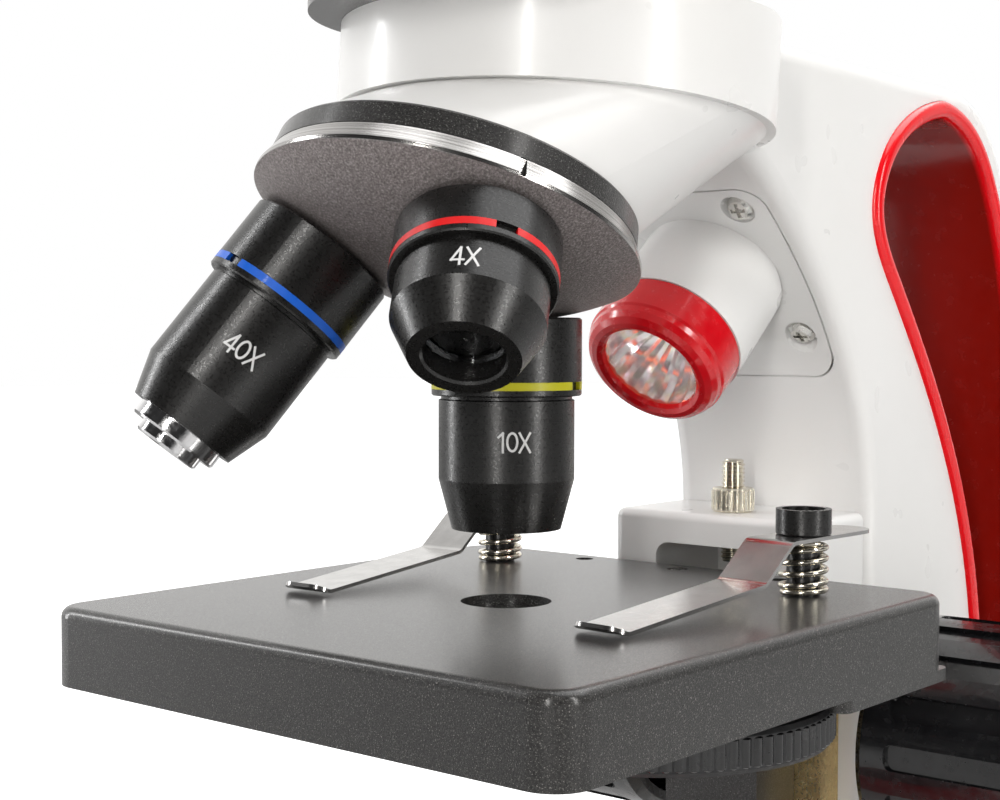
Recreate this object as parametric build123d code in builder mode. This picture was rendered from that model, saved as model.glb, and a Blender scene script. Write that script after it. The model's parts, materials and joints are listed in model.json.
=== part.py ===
from build123d import *
import math
import os

# Student compound microscope, millimetres.
# Row frame: +Z up, +Y towards the arm and its handle, table at Z = 0, origin under the
# middle of the base. Most places are given from the optical axis (y) and the stage top (z).

os.makedirs("parts", exist_ok=True)

# ---- driving dimensions -------------------------------------------------------------
AXIS_Y = -44.0            # optical axis, from the middle of the base
STAGE_Z = 108.0           # stage top above the table
FOOT_H = 3.0
BASE_LOW = FOOT_H - STAGE_Z      # underside of the base shell, from the stage top
BASE_TOP = -72.0                 # top of the base shell, from the stage top
WALL = 3.0

STAGE_LEFT, STAGE_RIGHT = -46.4, 45.0
STAGE_FRONT = -44.9
STAGE_BACK = 49.0
SKIRT = 11.0
POST_X, POST_Y = 29.05, 33.35

TURRET_CENTRE = 83.1      # height of the point where all objective axes meet
TURRET_TILT = 22.35       # nosepiece axis from the vertical
DOME_R = 43.2             # dome is a sphere about that point
RING_R, BARREL_R = 10.68, 9.67

ARM_HALF = 19.5
LAMP_TILT = 40.3          # upper lamp aims this far below the horizontal
LAMP_Y, LAMP_Z = 34.8, 32.2

SHAFT_Y, SHAFT_Z = 81.0, -30.5
SHAFT_R = 3.0
KNOB_R, KNOB_IN, KNOB_OUT = 21.0, 23.0, 53.0
PINION_TEETH, MODULE = 14, 0.9
PITCH_R = PINION_TEETH * MODULE / 2

TUBE_TILT = 45.0          # eyepiece tube from the vertical
TUBE_FOOT = 105.0         # where the tube axis leaves the optical axis
RUN = 0.06                # radial clearance of a running fit


# ---- placing and shaping helpers ----------------------------------------------------
def at(x, y, z):
    """Point from the optical axis and the stage top."""
    return Vector(x, AXIS_Y + y, STAGE_Z + z)


def level(z, x=0, y=0):
    """Horizontal sketch plane: sketch axes are X and Y."""
    return Plane(origin=at(x, y, z))


def side(x=0):
    """Plane facing +X: sketch axes are Y and Z."""
    return Plane(origin=at(x, 0, 0), x_dir=(0, 1, 0), z_dir=(1, 0, 0))


def front(y):
    """Plane facing -Y: sketch axes are X and Z."""
    return Plane(origin=at(0, y, 0), x_dir=(1, 0, 0), z_dir=(0, -1, 0))


def axis_frame(origin, along, radial):
    """Plane for turned sections: sketch x is the radius, sketch y runs along the axis."""
    along, radial = Vector(along).normalized(), Vector(radial).normalized()
    return Plane(origin=origin, x_dir=radial, z_dir=radial.cross(along))


def turn(frame, points, mode=Mode.ADD):
    """Revolves a closed outline of (radius, distance) points about the frame's y axis."""
    with BuildSketch(frame) as section:
        with BuildLine():
            Polyline(*points, close=True)
        make_face()
    revolve(section.sketch, axis=Axis(frame.origin, frame.y_dir), mode=mode)


def rod(frame, radius, low, high, mode=Mode.ADD):
    """Plain cylinder along the frame's y axis."""
    turn(frame, [(0, low), (radius, low), (radius, high), (0, high)], mode)


def ring(frame, outer, inner, low, high, mode=Mode.ADD):
    """Plain tube along the frame's y axis."""
    turn(frame, [(inner, low), (outer, low), (outer, high), (inner, high)], mode)


def slab(plane, x_range, y_range, amount, mode=Mode.ADD):
    """Rectangular block on a sketch plane, between two x values and two y values."""
    (x0, x1), (y0, y1) = x_range, y_range
    with BuildSketch(plane) as block:
        with Locations(((x0 + x1) / 2, (y0 + y1) / 2)):
            Rectangle(x1 - x0, y1 - y0)
    extrude(block.sketch, amount=amount, mode=mode)


def upright(x, y, z=0):
    """Turning frame with its axis straight up."""
    return axis_frame(at(x, y, z), (0, 0, 1), (1, 0, 0))


def save(piece, name):
    piece.part.label = name
    export_step(piece.part, f"parts/{name}.step")


def screw(frame, head_r, head_h, shank_r, shank_end):
    """Pan head at distance 0 to head_h, shank out to shank_end (negative), cross recess."""
    turn(frame, [(0, shank_end), (shank_r, shank_end), (shank_r, 0), (head_r, 0),
                 (head_r, head_h * 0.45), (head_r * 0.72, head_h), (0, head_h)])
    top = Plane(origin=frame.origin + frame.y_dir * head_h, x_dir=frame.x_dir, z_dir=frame.y_dir)
    with BuildSketch(top) as cross:
        Rectangle(head_r * 1.15, head_r * 0.3)
        Rectangle(head_r * 0.3, head_r * 1.15)
    extrude(cross.sketch, amount=-head_h * 0.6, mode=Mode.SUBTRACT)


# ---- base ---------------------------------------------------------------------------
FRONT_PAD = (36.0, -32.0, 30.0)      # rounded front corners: x, y, radius
REAR_PAD = (108.0, 42.0)             # rounded back: y, radius
SCREW_SPOTS = [(48, -10), (-48, -10), (36, 96), (-36, 96)]
FOOT_SPOTS = [(40, -38), (-40, -38), (26, 122), (-26, 122)]
CELL_R, CELL_PITCH = 7.1, 15.5
CELL_Y0, CELL_Y1 = 30.0, 80.5
DOOR = ((-23.9, 23.9), (CELL_Y0 - 1.7, CELL_Y1 + 1.7))
ARM_BOLTS = [(-12, 92), (12, 92), (-12, 136), (12, 136)]


def base_outline(inset):
    """Rounded wedge: hull of two front pads and one rear pad."""
    px, py, pr = FRONT_PAD
    ry, rr = REAR_PAD
    with BuildLine() as pads:
        CenterArc((px, py), pr - inset, 0, 360)
        CenterArc((-px, py), pr - inset, 0, 360)
        CenterArc((0, ry), rr - inset, 0, 360)
    make_hull(pads.edges())


def wall_frame(sign, y):
    """Frame standing on the flank of the base, z outwards, at the height of the controls."""
    px, py, pr = FRONT_PAD
    ry, rr = REAR_PAD
    span = math.hypot(px, ry - py)
    lean = math.asin((pr - rr) / span) + math.atan2(px, ry - py)
    nx, ny = math.cos(lean), math.sin(lean)
    x = (nx * px + ny * (py - y) + pr) / nx
    return Plane(origin=at(sign * x, y, CONTROL_Z), x_dir=(-sign * ny, nx, 0), z_dir=(sign * nx, ny, 0))


CONTROL_Z = -88.0
CONTROL_Y = 22.0
DIAL_R, DIAL_H = 11.0, 5.0
dial_wall = wall_frame(1, CONTROL_Y)
switch_wall = wall_frame(-1, CONTROL_Y)
ROCKER_PIN_R, ROCKER_PIN_HALF = 1.0, 5.6
rocker_pivot = axis_frame(switch_wall.origin - switch_wall.z_dir * 2.5, (0, 0, 1), (1, 0, 0))
DIAL_AXIS = dial_wall.origin - dial_wall.z_dir * 8.2
JACK = Plane(origin=at(0, REAR_PAD[0] + REAR_PAD[1] - 1.3, -90), x_dir=(-1, 0, 0), z_dir=(0, 1, 0))
JACK_FRAME = axis_frame(JACK.origin, (0, 1, 0), (1, 0, 0))

with BuildPart() as base_shell:
    with BuildSketch(level(BASE_LOW)) as outer:
        base_outline(0)
    extrude(amount=BASE_TOP - BASE_LOW)
    fillet(base_shell.faces().sort_by(Axis.Z)[-1].edges(), radius=9)
    with BuildSketch(level(BASE_LOW)) as inner:
        base_outline(WALL)
    extrude(amount=BASE_TOP - WALL - BASE_LOW, mode=Mode.SUBTRACT)
    for spot in SCREW_SPOTS:
        rod(upright(*spot), 4.2, BASE_LOW + 2.6, BASE_TOP - 1)
        rod(upright(*spot), 1.5, BASE_LOW, BASE_LOW + 18, Mode.SUBTRACT)
    rod(upright(0, 0), 14.6, BASE_TOP - 8, BASE_TOP + 1, Mode.SUBTRACT)
    for spot in ARM_BOLTS:
        rod(upright(*spot), 2.2, BASE_TOP - 8, BASE_TOP + 1, Mode.SUBTRACT)
    rod(axis_frame(DIAL_AXIS, (0, 0, 1), (1, 0, 0)), DIAL_R + 0.6, -3.1, 3.1, Mode.SUBTRACT)
    slab(switch_wall.offset(-8), (-9.2, 9.2), (-6.2, 6.2), 12, Mode.SUBTRACT)
    rod(JACK_FRAME, 4.6, -8, 4, Mode.SUBTRACT)
    rod(JACK_FRAME, 6.5, 0, 4, Mode.SUBTRACT)
save(base_shell, "base_shell")

with BuildPart() as base_plate:
    with BuildSketch(level(BASE_LOW)):
        base_outline(WALL + 0.15)
    extrude(amount=2.5)
    slab(level(BASE_LOW), *DOOR, 2.4, Mode.SUBTRACT)
    for spot in SCREW_SPOTS:
        rod(upright(*spot), 1.9, BASE_LOW, BASE_LOW + 3, Mode.SUBTRACT)
        rod(upright(*spot), 3.6, BASE_LOW, BASE_LOW + 1.2, Mode.SUBTRACT)
    tray_low, tray_high = BASE_LOW + 2.4, -86.4
    slab(level(tray_low), (-25.4, 25.4), (CELL_Y0 - 3.2, CELL_Y1 + 3.2), tray_high - tray_low)
    slab(level(tray_low - 1), (-23.9, 23.9), (CELL_Y0 - 1.7, CELL_Y1 + 1.7),
         tray_high - tray_low - 0.4, Mode.SUBTRACT)
save(base_plate, "base_plate")

with BuildPart() as battery_door:
    slab(level(BASE_LOW), (DOOR[0][0] + 0.2, DOOR[0][1] - 0.2), (DOOR[1][0] + 0.2, DOOR[1][1] - 0.2), 2.4)
    for k in range(7):
        y = DOOR[1][0] + 6 + k * 2.2
        slab(level(BASE_LOW), (-11, 11), (y, y + 1.1), 0.7, Mode.SUBTRACT)
save(battery_door, "battery_door")

with BuildPart() as base_screws:
    for x, y in SCREW_SPOTS:
        down = axis_frame(at(x, y, BASE_LOW + 1.2), (0, 0, -1), (1, 0, 0))
        screw(down, 3.2, 1.1, 1.4, -14)
    for x, y in ARM_BOLTS:
        down = axis_frame(at(x, y, BASE_TOP - WALL), (0, 0, -1), (1, 0, 0))
        screw(down, 3.8, 2.6, 1.7, -(WALL + 12))
save(base_screws, "base_screws")

with BuildPart() as rubber_feet:
    for x, y in FOOT_SPOTS:
        turn(upright(x, y), [(0, -STAGE_Z), (7.2, -STAGE_Z), (8, BASE_LOW - 2), (8, BASE_LOW), (0, BASE_LOW)])
save(rubber_feet, "rubber_feet")

with BuildPart() as battery_cells:
    for k in (-1, 0, 1):
        cell = axis_frame(at(k * CELL_PITCH, CELL_Y0, -95.1), (0, 1, 0), (1, 0, 0))
        length = CELL_Y1 - CELL_Y0
        turn(cell, [(0, 0), (CELL_R, 0), (CELL_R, length - 1.6), (2.7, length - 1.6), (2.7, length),
                    (0, length)])
save(battery_cells, "battery_cells")

with BuildPart() as power_inlet:
    turn(JACK_FRAME, [(3.0, -13), (4.5, -13), (4.5, 0), (6.2, 0), (6.2, 1.2), (3.0, 1.2)])
    rod(JACK_FRAME, 4.5, -15, -12.9)
    rod(JACK_FRAME, 1.0, -13, -1)
save(power_inlet, "power_inlet")

with BuildPart() as switch_frame:
    slab(switch_wall, (-10.6, 10.6), (-7.4, 7.4), 1.4)
    slab(switch_wall.offset(-9), (-9, 9), (-6, 6), 9)
    slab(switch_wall.offset(-7.5), (-7.8, 7.8), (-4.9, 4.9), 9, Mode.SUBTRACT)
    rod(rocker_pivot, ROCKER_PIN_R + RUN, -ROCKER_PIN_HALF - 0.1, ROCKER_PIN_HALF + 0.1, Mode.SUBTRACT)
save(switch_frame, "switch_frame")

with BuildPart() as switch_rocker:
    with BuildSketch(Plane(origin=switch_wall.origin, x_dir=switch_wall.x_dir,
                           z_dir=-switch_wall.y_dir).offset(-4.6)):
        with BuildLine():
            Polyline((-6.4, 2.9), (0, 1.0), (6.6, 0.6), (6.4, -1.2), (2, -5.2), (-2, -5.2), (-6.2, -0.8),
                     close=True)
        make_face()
    extrude(amount=9.2)
    rod(rocker_pivot, ROCKER_PIN_R, -ROCKER_PIN_HALF, ROCKER_PIN_HALF)
save(switch_rocker, "switch_rocker")

with BuildPart() as brightness_dial:
    dial_frame = axis_frame(DIAL_AXIS, (0, 0, 1), (1, 0, 0))
    ring(dial_frame, DIAL_R, 2.0, -DIAL_H / 2, DIAL_H / 2)
    for k in range(36):
        angle = math.radians(k * 10)
        groove = axis_frame(DIAL_AXIS + Vector(math.cos(angle), math.sin(angle), 0) * (DIAL_R + 0.35),
                            (0, 0, 1), (1, 0, 0))
        rod(groove, 0.75, -DIAL_H, DIAL_H, Mode.SUBTRACT)
save(brightness_dial, "brightness_dial")

# ---- lower light --------------------------------------------------------------------
with BuildPart() as light_collar:
    turn(upright(0, 0), [(14.0, BASE_TOP - 3), (14.5, BASE_TOP - 3), (14.5, BASE_TOP), (20.0, BASE_TOP),
                         (20.0, -64.5),
                         (18.2, -61), (16.0, -60), (14.6, -60), (14.6, -62.2), (13.0, -62.2), (13.0, -69),
                         (14.0, -69)])
save(light_collar, "light_collar")

with BuildPart() as base_field_lens:
    turn(upright(0, 0), [(0, -62.1), (14.4, -62.1), (14.4, -61.2), (12, -60.3), (8, -59.4), (4, -58.8),
                         (0, -58.6)])
save(base_field_lens, "base_field_lens")

with BuildPart() as light_boards:
    rod(dial_frame, 2.0 - RUN, -3.2, 6.5)
    rod(dial_frame, 4.6, 4.2, 9.0)
    slab(Plane(origin=DIAL_AXIS - dial_wall.z_dir * 6 + Vector(0, 0, 9.0)), (-8, 9), (-9, 9), 1.5)
    rod(upright(0, 0), 13.8, -76.5, -74.9)
    turn(upright(0, 0), [(0, -74.9), (2.6, -74.9), (2.6, -72.4), (1.9, -70.9), (0, -70.3)])
save(light_boards, "light_boards")

# ---- arm ----------------------------------------------------------------------------
DRUM_Y, DRUM_R, DRUM_TILT = 11.0, 32.0, 5.0
ARM_TOP, DRUM_LOW = 83.0, 68.6
FRONT_CURVE = [(72.5, 7), (68.4, 27.4), (56.3, 46.1), (40.6, 60.2), (20, 70.0)]
BACK_CURVES = [[(104, ARM_TOP), (121, ARM_TOP), (127, 70), (132, 55)], [(132, 55), (138, 37), (143.5, 15),
        (143.5, -30)]]
LIP_CURVE = [(97, 80.0), (84.1, 75.7), (75.0, 67.8), (72.1, 58.6), (79.2, 45.9), (91.7, 30.3), (102.3, 13.7),
             (110.6, -7), (114.5, -28), (119, -40), (128, -44.5), (136, -38), (139.6, -22), (138.6, 3),
                     (134.2, 28),
             (128.5, 50), (122.3, 64), (113.7, 74.9), (106, 78.9)]
LINER_T = 3.2
CHEEK = 1.1                        # the liner stands this far proud of the arm's sides


def nose_axis():
    tilt = math.radians(TURRET_TILT)
    return Vector(0, -math.sin(tilt), -math.cos(tilt))


MEET = at(0, 0, TURRET_CENTRE)
NOSE = nose_axis()
NOSE_FRAME = axis_frame(MEET, NOSE, (1, 0, 0))
PLATE_TOP, PLATE_LOW, RIM_LOW = 27.35, 30.8, 33.7


def tilted_disc_plane(distance):
    """Plane across the nosepiece axis, that far from the meeting point."""
    return Plane(origin=MEET + NOSE * distance, x_dir=(1, 0, 0), z_dir=-NOSE)


LAMP_AIM = Vector(0, -math.cos(math.radians(LAMP_TILT)), -math.sin(math.radians(LAMP_TILT)))
LAMP_FRAME = axis_frame(at(0, LAMP_Y, LAMP_Z), -LAMP_AIM, (1, 0, 0))   # distance grows into the arm
COVER_HALF, COVER_LEN, COVER_T = 16.2, 39.3, 2.4
COVER_TILT = 43.4
COVER_MID = at(0, 50.6, 42.95)
COVER_OUT = Vector(0, -math.sin(math.radians(COVER_TILT)), -math.cos(math.radians(COVER_TILT)))
COVER_PLANE = Plane(origin=COVER_MID, x_dir=(1, 0, 0), z_dir=COVER_OUT)
COVER_SCREWS = [(10.9, 43.9, 57.7, 53.5), (11.6, 62.6, 38.0, 36.0)]      # x, y, z, tilt of the seat


def front_band(shift):
    """Layer of the arm's front skin: the front curve and the same curve moved inwards."""
    inner = [(y + shift * 0.72, z + shift * 0.69) for y, z in FRONT_CURVE]
    with BuildLine() as edges:
        Spline(*FRONT_CURVE, tangents=[(0, 1), (-1, 0.3)])
        Line(FRONT_CURVE[-1], inner[-1])
        Spline(*inner, tangents=[(0, 1), (-1, 0.3)])
        Line(inner[0], FRONT_CURVE[0])
    make_face(edges.edges())


def lip_outline(inset, stations=44):
    """Closed outline of the handle opening, moved inwards by an inset."""
    curve = Edge.make_spline([Vector(y, z, 0) for y, z in LIP_CURVE], periodic=True)
    points = []
    for k in range(stations):
        spot, along = curve @ (k / stations), curve % (k / stations)
        points.append((spot.X - along.Y * inset, spot.Y + along.X * inset))
    with BuildLine() as edge:
        Spline(*points, periodic=True)
    make_face(edge.edges())


with BuildPart() as arm:
    with BuildSketch(side(-ARM_HALF)):
        with BuildLine():
            Line((72.5, BASE_TOP), (72.5, 7))
            Spline(*FRONT_CURVE, tangents=[(0, 1), (-1, 0.3)])
            Polyline(FRONT_CURVE[-1], (FRONT_CURVE[-1][0], ARM_TOP), (104, ARM_TOP))
            for poles in BACK_CURVES:
                Bezier(*poles)
            heel = BACK_CURVES[-1][-1]
            Polyline(heel, (heel[0], BASE_TOP), (72.5, BASE_TOP))
        make_face()
    extrude(amount=2 * ARM_HALF)
    skin = arm.faces().filter_by(Axis.X)
    rims = skin[0].edges() + skin[-1].edges()
    hidden_y, foot_z = AXIS_Y + FRONT_CURVE[-1][0] + 0.1, STAGE_Z + BASE_TOP + 0.1
    fillet([e for e in rims if e.bounding_box().max.Z > foot_z and e.bounding_box().max.Y > hidden_y],
           radius=3.0)
    with BuildSketch(Plane(origin=at(0, DRUM_Y, DRUM_LOW)).rotated((DRUM_TILT * -1, 0, 0))) as drum_foot:
        Circle(DRUM_R)
    extrude(amount=30)
    slab(level(ARM_TOP), (-60, 60), (-60, 200), 30, Mode.SUBTRACT)
    with BuildSketch(Plane(origin=at(0, DRUM_Y, DRUM_LOW)).rotated((DRUM_TILT * -1, 0, 0))):
        Circle(DRUM_R - 1.4)
    with BuildSketch(tilted_disc_plane(PLATE_TOP)):
        Circle(24.5)
    loft()
    with BuildSketch(side(-30)):
        lip_outline(0)
    extrude(amount=60, mode=Mode.SUBTRACT)
    # seat of the front cover and the lamp cavity behind it
    with BuildSketch(side(-30)) as band:
        front_band(COVER_T)
    with BuildSketch(COVER_PLANE.offset(-14)) as cover_shape:
        RectangleRounded(2 * COVER_HALF + 0.7, COVER_LEN + 0.7, 4.5)
    seat = extrude(band.sketch, amount=60, mode=Mode.PRIVATE) & extrude(cover_shape.sketch, amount=28,
            mode=Mode.PRIVATE)
    add(seat, mode=Mode.SUBTRACT)
    rod(LAMP_FRAME, 10.6, 14, 31, Mode.SUBTRACT)
    for sign in (-1, 1):
        for x, y, z, tilt in COVER_SCREWS:
            inward = Vector(0, math.sin(math.radians(tilt)), math.cos(math.radians(tilt)))
            rod(axis_frame(at(sign * x, y, z), inward, (1, 0, 0)), 1.25, 0, 9, Mode.SUBTRACT)
    # focus drive: shaft bore, pinion cavity and rack slot
    shaft_frame = axis_frame(at(0, SHAFT_Y, SHAFT_Z), (1, 0, 0), (0, 1, 0))
    rod(shaft_frame, 5.0, -30, 30, Mode.SUBTRACT)
    rod(shaft_frame, 8.6, -7, 7, Mode.SUBTRACT)
    slab(level(-68), (-4.4, 4.4), (70, 77.5), 67.4, Mode.SUBTRACT)
    # optical bore, head seat, bolts from the base, guide screws
    rod(upright(0, 0), 10, 50, ARM_TOP + 1, Mode.SUBTRACT)
    rod(NOSE_FRAME, 2.5, PLATE_TOP - 7, PLATE_TOP + 2, Mode.SUBTRACT)
    for spot in ARM_BOLTS:
        rod(upright(*spot), 1.7, BASE_TOP, BASE_TOP + 14, Mode.SUBTRACT)
save(arm, "arm")

with BuildPart() as handle_liner:
    with BuildSketch(side(-ARM_HALF - CHEEK)):
        lip_outline(0.05)
    extrude(amount=2 * (ARM_HALF + CHEEK))
    with BuildSketch(side(-ARM_HALF - CHEEK)):
        lip_outline(LINER_T)
    extrude(amount=2 * (ARM_HALF + CHEEK), mode=Mode.SUBTRACT)
    mouths = handle_liner.faces().filter_by(Axis.X)
    fillet(mouths[0].edges() + mouths[-1].edges(), radius=1.3)
save(handle_liner, "handle_liner")

# ---- front cover and upper lamp -----------------------------------------------------
with BuildPart() as front_cover:
    with BuildSketch(side(-30)) as band:
        front_band(COVER_T - 0.1)
    with BuildSketch(COVER_PLANE.offset(-14)) as cover_shape:
        RectangleRounded(2 * COVER_HALF, COVER_LEN, 4.2)
    add(extrude(band.sketch, amount=60, mode=Mode.PRIVATE) & extrude(cover_shape.sketch, amount=28,
            mode=Mode.PRIVATE))
    rod(LAMP_FRAME, 12.2, 8.7, 25)
    rod(LAMP_FRAME, 10.1, 3.8, 9)
    with BuildSketch(side(-40)) as behind:
        with BuildLine():
            inner = [(y + COVER_T * 0.68, z + COVER_T * 0.65) for y, z in FRONT_CURVE]
            Spline(*inner, tangents=[(0, 1), (-1, 0.3)])
            Polyline(inner[-1], (inner[-1][0], 100), (100, 100), (100, inner[0][1]), inner[0])
        make_face()
    extrude(behind.sketch, amount=80, mode=Mode.SUBTRACT)
    rod(LAMP_FRAME, 9.0, 0, 30, Mode.SUBTRACT)
    for sign in (-1, 1):
        for x, y, z, tilt in COVER_SCREWS:
            outward = Vector(0, -math.sin(math.radians(tilt)), -math.cos(math.radians(tilt)))
            well = axis_frame(at(sign * x, y, z), outward, (1, 0, 0))
            turn(well, [(0, -1.1), (2.6, -1.1), (2.9, 0.2), (3.6, 3), (0, 3)], Mode.SUBTRACT)
            rod(well, 1.45, -4, 1, Mode.SUBTRACT)
save(front_cover, "front_cover")

with BuildPart() as cover_screws:
    for sign in (-1, 1):
        for x, y, z, tilt in COVER_SCREWS:
            outward = Vector(0, -math.sin(math.radians(tilt)), -math.cos(math.radians(tilt)))
            screw(axis_frame(at(sign * x, y, z) - outward * 1.1, outward, (1, 0, 0)), 2.25, 1.3, 1.25, -7)
save(cover_screws, "cover_screws")

with BuildPart() as lamp_cap:
    turn(LAMP_FRAME, [(8.0, 1.3), (8.3, 0.5), (9.0, 0.0), (9.9, 0.15), (10.8, 0.8), (11.35, 1.8),
                      (11.5, 2.7), (11.8, 3.1),
                      (11.95, 8.6), (10.2, 8.6), (10.2, 2.9), (9.8, 2.9), (9.8, 1.3)])
save(lamp_cap, "lamp_cap")

with BuildPart() as lamp_lens:
    rod(LAMP_FRAME, 9.7, 1.35, 2.25)
save(lamp_lens, "lamp_lens")

with BuildPart() as lamp_reflector:
    depth, mouth, throat, skin_t = 10.5, 8.3, 2.1, 0.6
    with BuildSketch(LAMP_FRAME):
        with BuildLine():
            curve = [(mouth * (1 - t) + throat * t + 1.9 * math.sin(math.pi * t),
                      2.3 + depth * t) for t in (0, 0.25, 0.5, 0.75, 1)]
            Spline(*curve)
            shell_curve = [(r + skin_t, d) for r, d in curve[1:]]
            Polyline(curve[0], (9.7, 2.3), (9.7, 3.2), (mouth + skin_t - 0.1, 3.2))
            Spline((mouth + skin_t - 0.1, 3.2), *shell_curve)
            Line(shell_curve[-1], curve[-1])
        make_face()
    revolve(axis=Axis(LAMP_FRAME.origin, LAMP_FRAME.y_dir))
save(lamp_reflector, "lamp_reflector")

with BuildPart() as lamp_led:
    turn(LAMP_FRAME, [(0, 10.2), (1.0, 10.6), (1.7, 11.6), (1.8, 13.2), (8.8, 13.2), (8.8, 14.8), (0, 14.8)])
save(lamp_led, "lamp_led")

# ---- stage stop on the arm ----------------------------------------------------------
STOP_Y = 60.5
with BuildPart() as stop_bracket:
    slab(level(-6), (-19.3, 18.3), (52.5, 72.4), 14.1)
    fillet(stop_bracket.edges().filter_by(Axis.Z).sort_by(Axis.Y)[:2], radius=2.0)
    fillet(stop_bracket.faces().sort_by(Axis.Z)[-1].edges().sort_by(Axis.Y)[:-1], radius=1.4)
    with BuildSketch(front(73)) as window:
        with Locations((0, -3.2)):
            Rectangle(20.8, 12.2)
        fillet(window.vertices().group_by(Axis.Y)[-1], radius=2.6)
    extrude(amount=30, mode=Mode.SUBTRACT)
    rod(upright(0, STOP_Y), 2.1, 0, 10, Mode.SUBTRACT)
save(stop_bracket, "stop_bracket")

with BuildPart() as stop_screw:
    rod(upright(0, STOP_Y), 2.0, -0.4, 17.0)
    chamfer(stop_screw.edges().filter_by(GeomType.CIRCLE).sort_by(Axis.Z)[-1], length=0.4)
    slab(level(16), (-3, 3), (STOP_Y - 0.35, STOP_Y + 0.35), 2, Mode.SUBTRACT)
save(stop_screw, "stop_screw")

with BuildPart() as stop_nut:
    nut_r, nut_low, nut_high = 3.65, 8.12, 12.2
    turn(upright(0, STOP_Y), [(2.0 + RUN, nut_low), (nut_r - 0.4, nut_low), (nut_r, nut_low + 0.4),
                              (nut_r, nut_high - 0.4),
                              (nut_r - 0.4, nut_high), (2.6, nut_high), (2.0 + RUN, nut_high - 0.5)])
    for k in range(24):
        angle = math.radians(k * 15)
        rod(upright(nut_r * math.cos(angle), STOP_Y + nut_r * math.sin(angle)),
            0.28, nut_low, nut_high, Mode.SUBTRACT)
save(stop_nut, "stop_nut")

# ---- slideway and focus drive -------------------------------------------------------
GUIDE_LOW, GUIDE_HIGH = -62.0, -6.4
TAIL = [(-6.0, 66.3), (6.0, 66.3), (8.0, 70.4), (-8.0, 70.4)]      # dovetail section: x, y


def dovetail(grow):
    (a, ya), (b, _), (c, yc), (d, _) = TAIL
    with BuildLine() as edges:
        Polyline((a - grow, ya), (b + grow, ya), (c + grow, yc + grow), (d - grow, yc + grow), close=True)
    make_face(edges.edges())


with BuildPart() as slide_rails:
    slab(level(GUIDE_LOW), (-14, 14), (66.4, 72.4), GUIDE_HIGH - GUIDE_LOW)
    with BuildSketch(level(GUIDE_LOW - 1)):
        dovetail(0.12)
    extrude(amount=80, mode=Mode.SUBTRACT)
    slab(level(GUIDE_LOW - 1), (-4.4, 4.4), (70, 73), 80, Mode.SUBTRACT)
save(slide_rails, "slide_rails")

with BuildPart() as shaft_bushes:
    for sign in (-1, 1):
        outward = axis_frame(at(0, SHAFT_Y, SHAFT_Z), (sign, 0, 0), (0, 1, 0))
        ring(outward, 4.95, SHAFT_R + RUN, 8.5, ARM_HALF)
        ring(outward, 7.0, SHAFT_R + RUN, ARM_HALF, ARM_HALF + 1.6)
save(shaft_bushes, "shaft_bushes")

with BuildPart() as focus_shaft:
    rod(shaft_frame, SHAFT_R, -(KNOB_OUT - 3), KNOB_OUT - 3)
save(focus_shaft, "focus_shaft")


def tooth_flank(base_r, root_r, tip_r, half_at_pitch, steps=4):
    """Involute flank points (radius, half angle), root to tip."""
    pressure = math.acos(base_r / PITCH_R)
    inv_pitch = math.tan(pressure) - pressure
    points = [(root_r, half_at_pitch + inv_pitch)]
    for k in range(steps + 1):
        r = base_r + (tip_r - base_r) * k / steps
        a = math.acos(base_r / r)
        points.append((r, half_at_pitch + inv_pitch - (math.tan(a) - a)))
    return points


BACKLASH = 0.30
TOOTH_HALF = (math.pi * MODULE / 2 - BACKLASH) / 2

with BuildPart() as focus_pinion:
    tip_r, root_r = PITCH_R + 0.75, PITCH_R - 1.1
    flank = tooth_flank(PITCH_R * math.cos(math.radians(20)), root_r, tip_r, TOOTH_HALF / PITCH_R)
    with BuildSketch(side(-5.5)) as gear:
        Circle(root_r + 0.01)
        for k in range(PINION_TEETH):
            turn_by = math.pi + 2 * math.pi * k / PINION_TEETH
            edge = [(r, turn_by - half) for r, half in flank] + [(r, turn_by + half) for r,
                    half in reversed(flank)]
            corners = [(r * math.cos(a), r * math.sin(a)) for r, a in edge]
            with BuildLine():
                Polyline(*corners, close=True)
            make_face()
    extrude(gear.sketch, amount=11)
focus_pinion.part = focus_pinion.part.moved(Location((0, SHAFT_Y, SHAFT_Z)))
with BuildPart() as bored_pinion:
    add(focus_pinion.part)
    rod(shaft_frame, SHAFT_R, -8, 8, Mode.SUBTRACT)
save(bored_pinion, "focus_pinion")

RACK_TOP, RACK_LOW = -8.0, -46.0
with BuildPart() as focus_rack:
    pitch_y = SHAFT_Y - PITCH_R
    slab(level(RACK_LOW), (-3.6, 3.6), (70.5, pitch_y - 0.95), RACK_TOP - RACK_LOW)
    pitch = math.pi * MODULE
    lean = math.tan(math.radians(20))
    with BuildSketch(side(-3.6)) as teeth:
        for k in range(-5, 8):
            z = SHAFT_Z + (k + 0.5) * pitch
            if RACK_LOW + 1.5 < z < RACK_TOP - 1.5:
                low, high = pitch_y - 1.0, pitch_y + 0.6
                wide, slim = TOOTH_HALF + 1.0 * lean, TOOTH_HALF - 0.6 * lean
                with BuildLine():
                    Polyline((low, z - wide), (high, z - slim), (high, z + slim), (low, z + wide), close=True)
                make_face()
    extrude(teeth.sketch, amount=7.2)
save(focus_rack, "focus_rack")

KNOB_POCKETS, POCKET_PHASE = 16, 0.87


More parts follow.
